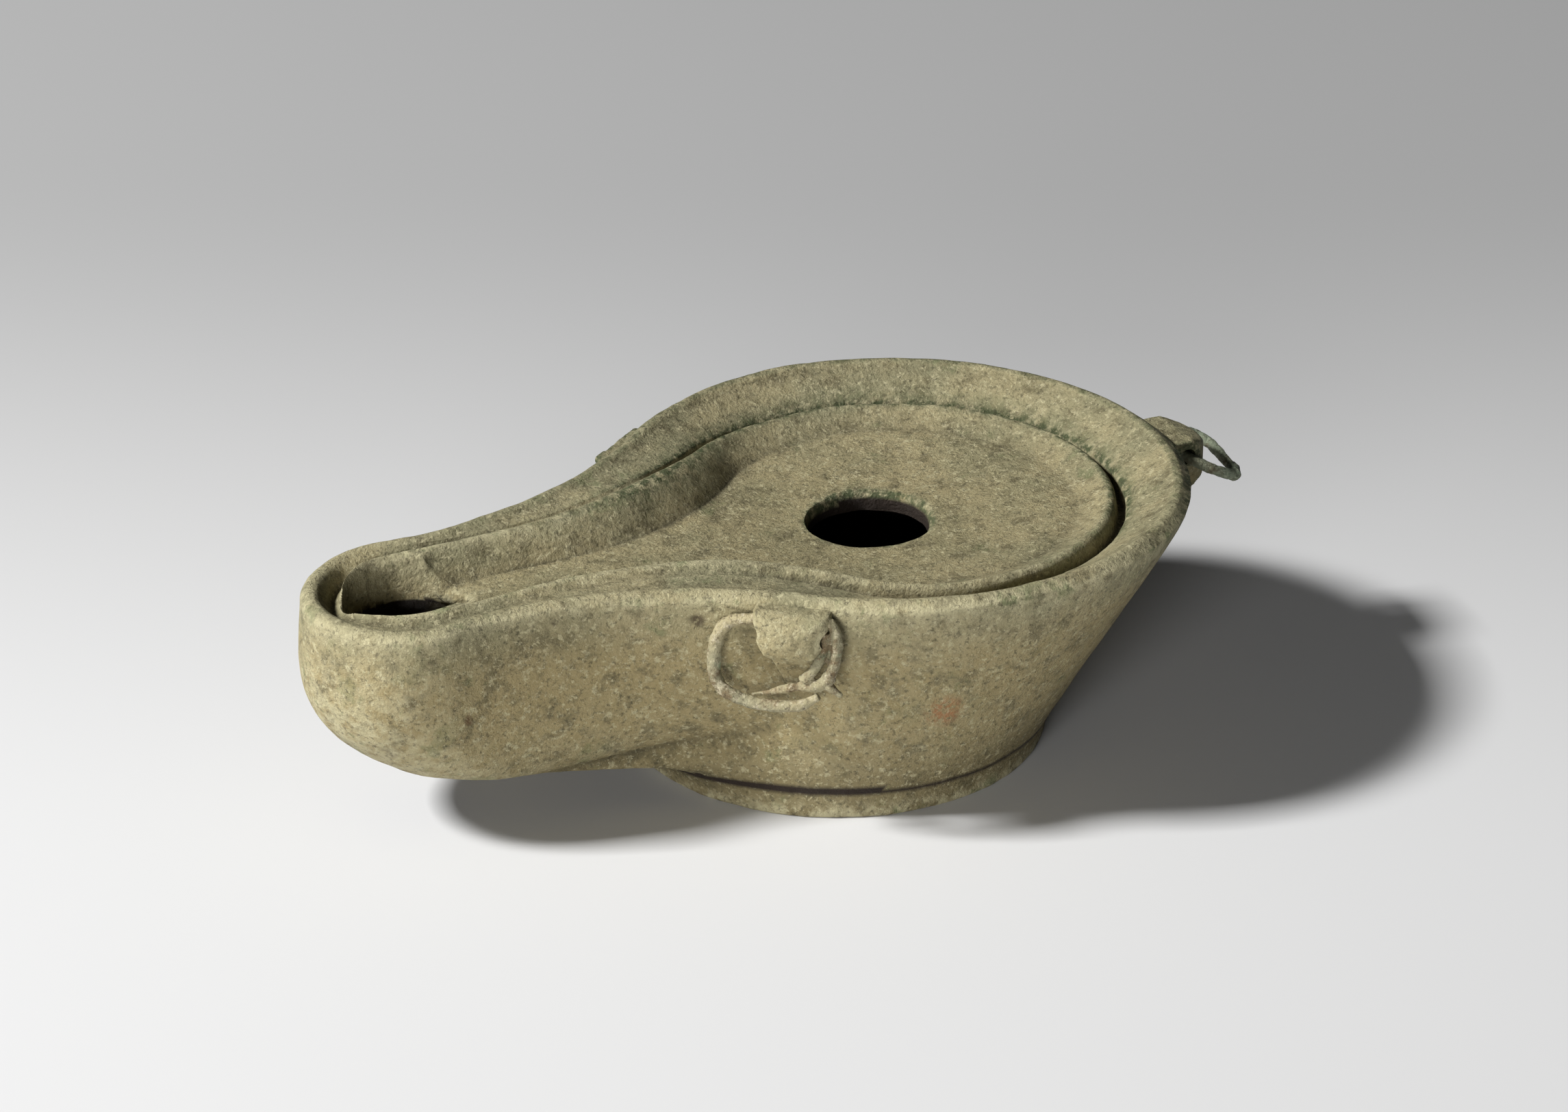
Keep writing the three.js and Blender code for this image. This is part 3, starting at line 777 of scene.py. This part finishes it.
# ---------------------------------------------------------------------------------------------
# The two rings. Each is a length of drawn bronze wire, bent through its lug, with its ends lapped.
# A chain hung from them once. The near one is crusted buff and green, the rear one pale green.
# ---------------------------------------------------------------------------------------------
WIRE_RADIUS = 0.82
SIDE_LEAN = 0.15
REAR_LEAN = 1.2
REAR_ROLL = 0.02
CRUST_GRAIN = 0.17


def hanging(place, hole_out, lean, roll, bends):
    """Bends of a wire, each given by how far it hangs from its hole and how far along the rim."""
    origin, out, along = place
    knots = []
    for fall, across in bends:
        up = Vector((0, 0, LUG_HOLE_UP - fall * math.cos(lean) + roll * across * fall))
        knots.append(origin + out * (hole_out + fall * math.sin(lean)) + along * across + up)
    return np.array([list(v) for v in knots])


def wire_nodes():
    """Sweeps a round wire along a path, as thick at each point as the path says."""
    tree = bpy.data.node_groups.new("wire", "GeometryNodeTree")
    socket = tree.interface.new_socket
    socket("Geometry", in_out="INPUT", socket_type="NodeSocketGeometry")
    socket("Radius", in_out="INPUT", socket_type="NodeSocketFloat").default_value = WIRE_RADIUS * MM
    socket("Sides", in_out="INPUT", socket_type="NodeSocketInt").default_value = 14
    socket("Material", in_out="INPUT", socket_type="NodeSocketMaterial")
    socket("Geometry", in_out="OUTPUT", socket_type="NodeSocketGeometry")
    add = tree.nodes.new
    enter = add("NodeGroupInput")
    leave = add("NodeGroupOutput")
    path = add("GeometryNodeMeshToCurve")
    link(tree, enter.outputs["Geometry"], path.inputs["Mesh"])
    thickness = add("GeometryNodeInputNamedAttribute")
    thickness.data_type = "FLOAT"
    thickness.inputs["Name"].default_value = "thickness"
    scaled = add("ShaderNodeMath")
    scaled.operation = "MULTIPLY"
    link(tree, thickness.outputs["Attribute"], scaled.inputs[0])
    link(tree, enter.outputs["Radius"], scaled.inputs[1])
    circle = add("GeometryNodeCurvePrimitiveCircle")
    circle.inputs["Radius"].default_value = 1.0
    link(tree, enter.outputs["Sides"], circle.inputs["Resolution"])
    swept = add("GeometryNodeCurveToMesh")
    link(tree, path.outputs["Curve"], swept.inputs["Curve"])
    link(tree, circle.outputs["Curve"], swept.inputs["Profile Curve"])
    link(tree, scaled.outputs[0], swept.inputs["Scale"])
    swept.inputs["Fill Caps"].default_value = True
    real = add("GeometryNodeRealizeInstances")
    link(tree, swept.outputs["Mesh"], real.inputs[0])
    paint = add("GeometryNodeSetMaterial")
    link(tree, enter.outputs["Material"], paint.inputs["Material"])
    link(tree, real.outputs[0], paint.inputs["Geometry"])
    link(tree, paint.outputs[0], leave.inputs[0])
    return tree


wire_tree = wire_nodes()


def wire(name, knots, thickness):
    """A wire that bends smoothly through its knots. Thickness is given from end to end."""
    steps = 8
    wide = np.vstack([2 * knots[0] - knots[1], knots, 2 * knots[-1] - knots[-2]])
    path = []
    for i in range(len(knots) - 1):
        p, q, r, s = wide[i : i + 4]
        for t in np.arange(steps) / steps:
            square = (2 * p - 5 * q + 4 * r - s) * t**2
            cube = (3 * q - p - 3 * r + s) * t**3
            path.append((2 * q + (r - p) * t + square + cube) / 2)
    path.append(knots[-1])
    stops = np.linspace(0, 1, len(thickness))
    share = np.interp(np.linspace(0, 1, len(path)), stops, thickness)
    mesh = bpy.data.meshes.new(name)
    edges = [(i, i + 1) for i in range(len(path) - 1)]
    mesh.from_pydata([Vector(v) * MM for v in path], edges, [])
    mesh.attributes.new("thickness", "FLOAT", "POINT").data.foreach_set("value", share)
    obj = bpy.data.objects.new(name, mesh)
    bpy.context.scene.collection.objects.link(obj)
    obj.modifiers.new("wire", "NODES").node_group = wire_tree
    bake(obj)
    return obj


def knob(knots):
    """A lump of corrosion on a wire."""
    ends = np.array([knots[0] + (0, 0, 0.6), knots[0] - (0, 0, 0.6)])
    return wire("knob", ends, [0.6, 1.3, 1.4, 0.6])


side_hang = (near_place, NEAR_HOLE_OUT, SIDE_LEAN, 0.0)
side_bends = [
    (8.3, 4.2), (9.7, 2.2), (10.3, -0.2), (10.5, -3.0), (10.3, -5.8), (9.6, -8.0), (8.6, -9.7),
    (6.6, -10.6), (4.2, -10.7), (1.7, -10.4), (-0.4, -9.3), (-1.5, -6.8), (-2.2, -1.1),
    (-2.7, 4.0), (-1.8, 5.9), (0.6, 6.5), (3.0, 6.3), (5.0, 5.7), (6.3, 4.8), (6.9, 3.5),
    (7.2, 1.6), (7.9, -0.7), (8.6, -3.0), (9.1, -5.2),
]
side_ring = wire(
    "side_ring_wire", hanging(*side_hang, side_bends),
    [
        0.7, 1.0, 1.0, 1.05, 1.1, 1.15, 1.2, 1.2, 1.1, 1.0, 0.9, 0.9, 1.0, 1.1, 1.1, 1.0, 0.8, 0.5,
        0.2,
    ],
)
inner_bends = [(-0.9, 4.9), (0.8, 4.8), (2.9, 4.3), (4.9, 3.2), (6.3, 1.9)]
combine(side_ring, wire("inner_strand", hanging(*side_hang, inner_bends), [0.9, 1.0, 0.9]), "UNION")
spur_bends = [(6.0, 4.2), (6.8, 5.8), (7.9, 7.5)]
combine(side_ring, wire("spur", hanging(*side_hang, spur_bends), [0.9, 0.8, 0.4]), "UNION")
for bend in [(5.9, 2.4), (5.7, 5.5)]:
    combine(side_ring, knob(hanging(*side_hang, [bend])), "UNION")
soften(side_ring, CRUST_GRAIN, 2)

rear_hang = (rear_place, REAR_HOLE_OUT, REAR_LEAN, REAR_ROLL)
rear_bends = [
    (8.7, -4.3), (7.6, -5.7), (5.9, -6.3), (3.1, -6.3), (1.5, -5.5), (0.5, -3.9), (0.0, -1.6),
    (0.1, 2.1), (0.7, 4.3), (1.8, 5.7), (3.5, 6.3), (6.3, 6.3), (7.9, 5.5), (8.9, 3.9),
    (9.4, 1.6), (9.3, -2.1), (8.7, -4.3),
]
rear_ring = wire(
    "rear_ring_wire", hanging(*rear_hang, rear_bends), [0.9, 1.0, 1.0, 0.9, 1.0, 1.05, 1.0, 0.8]
)
tip_bends = [(8.2, -5.6), (9.6, -3.5), (10.6, -1.6)]
combine(rear_ring, wire("tip", hanging(*rear_hang, tip_bends), [1.3, 1.0, 0.4]), "UNION")
combine(rear_ring, knob(hanging(*rear_hang, [(8.2, -5.6)])), "UNION")
soften(rear_ring, CRUST_GRAIN, 2)

crusted = patina(
    "side_ring_patina",
    buff=(0.40, 0.345, 0.20),
    grey=(0.28, 0.26, 0.16),
    brown=(0.13, 0.075, 0.030),
    pale=(0.52, 0.46, 0.32),
    green=(0.22, 0.33, 0.20),
)
greened = patina(
    "rear_ring_patina",
    buff=(0.28, 0.27, 0.17),
    grey=(0.23, 0.26, 0.18),
    brown=(0.11, 0.075, 0.035),
    pale=(0.38, 0.40, 0.29),
    green=(0.18, 0.27, 0.18),
)
finish_piece(side_ring, crusted, (2.4, 0.5), (0.9, 0.4), "side_ring")
finish_piece(rear_ring, greened, (2.4, 0.45), (0.9, 0.3), "rear_ring")


# ---------------------------------------------------------------------------------------------
# The table, the light and the camera. A pale sheet lies flat under the lamp. One soft lamp stands
# to the left and behind, with a weak one low in front.
# ---------------------------------------------------------------------------------------------
TABLE_HALF_WIDTH = 3.0


def table():
    """A flat sheet, bright in front and greyer towards the back."""
    points = [
        (x * TABLE_HALF_WIDTH, y * TABLE_HALF_WIDTH, 0)
        for x, y in ((-1, -1), (1, -1), (1, 1), (-1, 1))
    ]
    mesh = bpy.data.meshes.new("table")
    mesh.from_pydata(points, [], [(0, 1, 2, 3)])
    obj = bpy.data.objects.new("table", mesh)
    bpy.context.scene.collection.objects.link(obj)
    paper = bpy.data.materials.new("paper")
    paper.use_nodes = True
    tree = paper.node_tree
    shader = tree.nodes["Principled BSDF"]
    place = tree.nodes.new("ShaderNodeTexCoord").outputs["Object"]
    depth = tree.nodes.new("ShaderNodeVectorMath")
    depth.operation = "DOT_PRODUCT"
    depth.inputs[1].default_value = (0.43, 0.90, 0)
    link(tree, place, depth.inputs[0])
    fade = tree.nodes.new("ShaderNodeMapRange")
    fade.interpolation_type = "SMOOTHSTEP"
    fade.inputs["From Min"].default_value = -0.05
    fade.inputs["From Max"].default_value = 0.22
    fade.inputs["To Min"].default_value = 0.62
    fade.inputs["To Max"].default_value = 0.36
    link(tree, depth.outputs["Value"], fade.inputs["Value"])
    link(tree, fade.outputs[0], shader.inputs["Base Color"])
    shader.inputs["Roughness"].default_value = 0.9
    mesh.materials.append(paper)
    return obj


table()


def soft_lamp(name, azimuth, elevation, distance, size, power):
    """A square light that faces the lamp's bowl. Azimuth 0 is towards +X, 90 towards +Y."""
    a, e = math.radians(azimuth), math.radians(elevation)
    back = Vector((math.cos(a) * math.cos(e), math.sin(a) * math.cos(e), math.sin(e)))
    data = bpy.data.lights.new(name, "AREA")
    data.size = size
    data.energy = power
    obj = bpy.data.objects.new(name, data)
    obj.location = back * distance + Vector((0, 0, 0.02))
    obj.rotation_mode = "QUATERNION"
    obj.rotation_quaternion = back.to_track_quat("Z", "Y")
    bpy.context.scene.collection.objects.link(obj)


soft_lamp("key", 166, 42, 2.0, 0.29, 66)
soft_lamp("front_fill", 228, 10, 1.6, 0.6, 17)
bpy.context.scene.view_settings.view_transform = "Standard"

world = bpy.data.worlds.new("room")
world.use_nodes = True
world.node_tree.nodes["Background"].inputs["Color"].default_value = (1, 1, 1, 1)
world.node_tree.nodes["Background"].inputs["Strength"].default_value = 0.02
bpy.context.scene.world = world

VIEW_TURN = math.radians(25.07)
VIEW_TILT = math.radians(26.05)
VIEW_ACROSS = -7.31
VIEW_ABOVE = 23.37
VIEW_DISTANCE = 700
right = Vector((math.cos(VIEW_TURN), -math.sin(VIEW_TURN), 0))
ahead = Vector(
    (
        math.sin(VIEW_TURN) * math.cos(VIEW_TILT),
        math.cos(VIEW_TURN) * math.cos(VIEW_TILT),
        -math.sin(VIEW_TILT),
    )
)
above = right.cross(ahead)
camera = bpy.data.objects.new("camera", bpy.data.cameras.new("camera"))
camera.data.lens = 110.04
camera.data.sensor_width = 36
camera.location = (right * VIEW_ACROSS + above * VIEW_ABOVE - ahead * VIEW_DISTANCE) * MM
camera.rotation_mode = "QUATERNION"
camera.rotation_quaternion = Matrix((right, above, -ahead)).transposed().to_quaternion()
bpy.context.scene.collection.objects.link(camera)
bpy.context.scene.camera = camera
